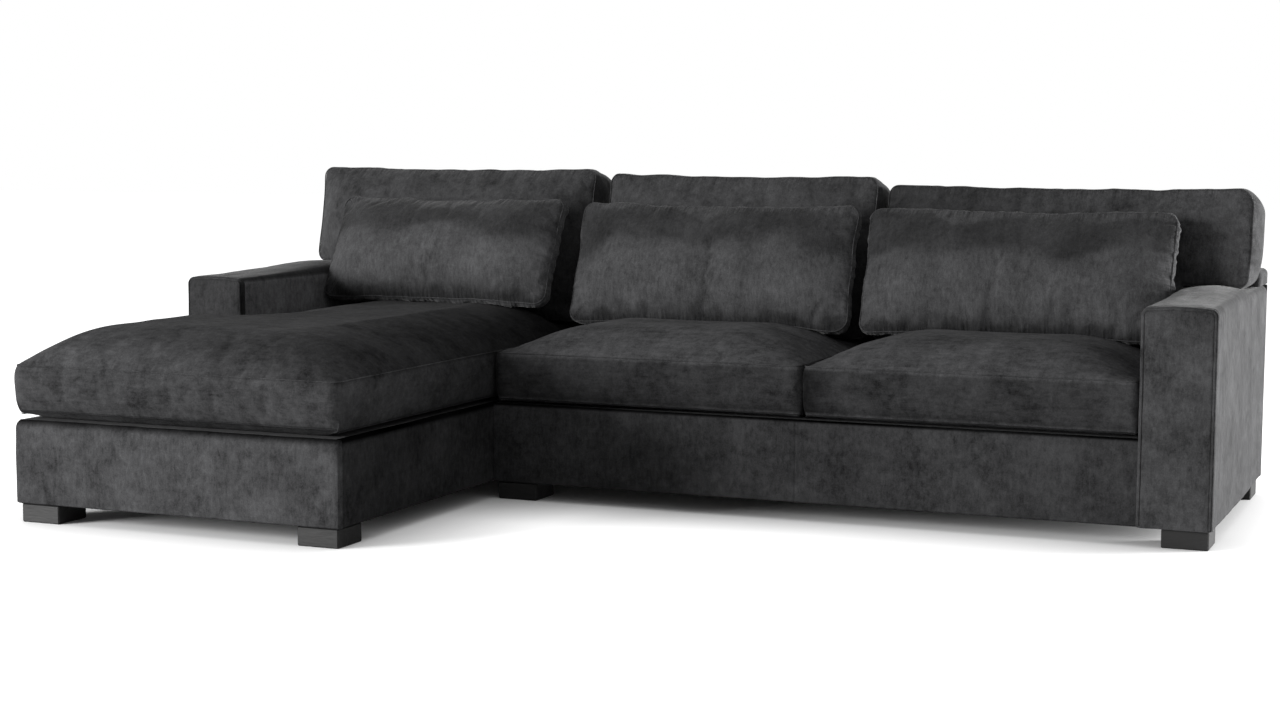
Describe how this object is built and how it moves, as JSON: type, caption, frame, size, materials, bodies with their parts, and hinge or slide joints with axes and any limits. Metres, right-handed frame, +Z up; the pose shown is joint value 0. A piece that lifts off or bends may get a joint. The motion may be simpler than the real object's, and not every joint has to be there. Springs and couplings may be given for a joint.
{
  "type": "sofa with chaise",
  "caption": "Low velvet sectional sofa with a chaise at its left end, loose seat, back and lumbar cushions, block arms and dark block feet.",
  "frame": {"origin": "on the floor, under the middle of the sofa's bounding box", "axes": "+X along the sofa's width, to the right as seen from the front; +Y to the back; +Z up; the chaise is at the -X end and its foot end faces -Y"},
  "size_m": [2.997, 1.88, 0.9289],
  "materials": {
    "velvet": "charcoal velvet with a brushed, mottled nap",
    "deck_felt": "dense dark felt over foam",
    "dust_cloth": "thin black non-woven cloth",
    "webbing": "elastic belt with woven stripes",
    "frame_wood": "planed softwood, unfinished",
    "plywood": "sanded plywood",
    "foot_wood": "near-black satin stain",
    "bar_steel": "zinc grey"
  },
  "bodies": {
    "frame": {"chaise_back_left_post": "frame_wood", "chaise_back_pad": "velvet", "chaise_back_panel": "velvet", "chaise_back_right_post": "frame_wood", "chaise_back_top_rail": "frame_wood", "chaise_back_top_roll": "velvet", "chaise_back_webbing": "webbing", "chaise_cross_rail": "frame_wood", "chaise_deck": "deck_felt", "chaise_dust_cover": "dust_cloth", "chaise_front_border": "velvet", "chaise_front_left_foot": "foot_wood", "chaise_front_rail": "frame_wood", "chaise_front_right_foot": "foot_wood", "chaise_left_border": "velvet", "chaise_left_rail": "frame_wood", "chaise_rear_left_foot": "foot_wood", "chaise_rear_right_foot": "foot_wood", "chaise_right_border": "velvet", "chaise_right_rail": "frame_wood", "chaise_seat_rail": "frame_wood", "chaise_seat_webbing": "webbing", "left_arm_front_panel": "velvet", "left_arm_side_board": "plywood", "left_arm_top_board": "plywood", "left_arm_wrap": "velvet", "loveseat_back_left_post": "frame_wood", "loveseat_back_pad": "velvet", "loveseat_back_panel": "velvet", "loveseat_back_right_post": "frame_wood", "loveseat_back_top_rail": "frame_wood", "loveseat_back_top_roll": "velvet", "loveseat_back_webbing": "webbing", "loveseat_cross_rail": "frame_wood", "loveseat_deck": "deck_felt", "loveseat_dust_cover": "dust_cloth", "loveseat_front_border": "velvet", "loveseat_front_left_foot": "foot_wood", "loveseat_front_rail": "frame_wood", "loveseat_front_right_foot": "foot_wood", "loveseat_left_rail": "frame_wood", "loveseat_rear_left_foot": "foot_wood", "loveseat_rear_right_foot": "foot_wood", "loveseat_right_rail": "frame_wood", "loveseat_seat_rail": "frame_wood", "loveseat_seat_webbing": "webbing", "module_joining_bar": "bar_steel", "right_arm_front_panel": "velvet", "right_arm_side_board": "plywood", "right_arm_top_board": "plywood", "right_arm_wrap": "velvet"},
    "chaise_seat_cushion": {"chaise_seat_cushion": "velvet"},
    "chaise_back_cushion": {"chaise_back_cushion": "velvet"},
    "chaise_lumbar_cushion": {"chaise_lumbar_cushion": "velvet"},
    "middle_seat_cushion": {"middle_seat_cushion": "velvet"},
    "middle_back_cushion": {"middle_back_cushion": "velvet"},
    "middle_lumbar_cushion": {"middle_lumbar_cushion": "velvet"},
    "right_seat_cushion": {"right_seat_cushion": "velvet"},
    "right_back_cushion": {"right_back_cushion": "velvet"},
    "right_lumbar_cushion": {"right_lumbar_cushion": "velvet"}
  },
  "joints": [
    {"name": "chaise_seat_cushion_lift", "type": "slide", "parent": "frame", "child": "chaise_seat_cushion", "axis": [0, 0, 1], "range_m": [0, 0.3]},
    {"name": "chaise_back_cushion_lift", "type": "slide", "parent": "chaise_seat_cushion", "child": "chaise_back_cushion", "axis": [0, 0.225, 0.9744], "range_m": [0, 0.5]},
    {"name": "chaise_lumbar_cushion_lift", "type": "slide", "parent": "chaise_back_cushion", "child": "chaise_lumbar_cushion", "axis": [0, -0.7431, 0.6691], "range_m": [0, 0.35]},
    {"name": "middle_seat_cushion_lift", "type": "slide", "parent": "frame", "child": "middle_seat_cushion", "axis": [0, 0, 1], "range_m": [0, 0.3]},
    {"name": "middle_back_cushion_lift", "type": "slide", "parent": "middle_seat_cushion", "child": "middle_back_cushion", "axis": [0, 0.225, 0.9744], "range_m": [0, 0.5]},
    {"name": "middle_lumbar_cushion_lift", "type": "slide", "parent": "middle_back_cushion", "child": "middle_lumbar_cushion", "axis": [0, -0.7431, 0.6691], "range_m": [0, 0.35]},
    {"name": "right_seat_cushion_lift", "type": "slide", "parent": "frame", "child": "right_seat_cushion", "axis": [0, 0, 1], "range_m": [0, 0.3]},
    {"name": "right_back_cushion_lift", "type": "slide", "parent": "right_seat_cushion", "child": "right_back_cushion", "axis": [0, 0.225, 0.9744], "range_m": [0, 0.5]},
    {"name": "right_lumbar_cushion_lift", "type": "slide", "parent": "right_back_cushion", "child": "right_lumbar_cushion", "axis": [0, -0.7431, 0.6691], "range_m": [0, 0.35]}
  ]
}
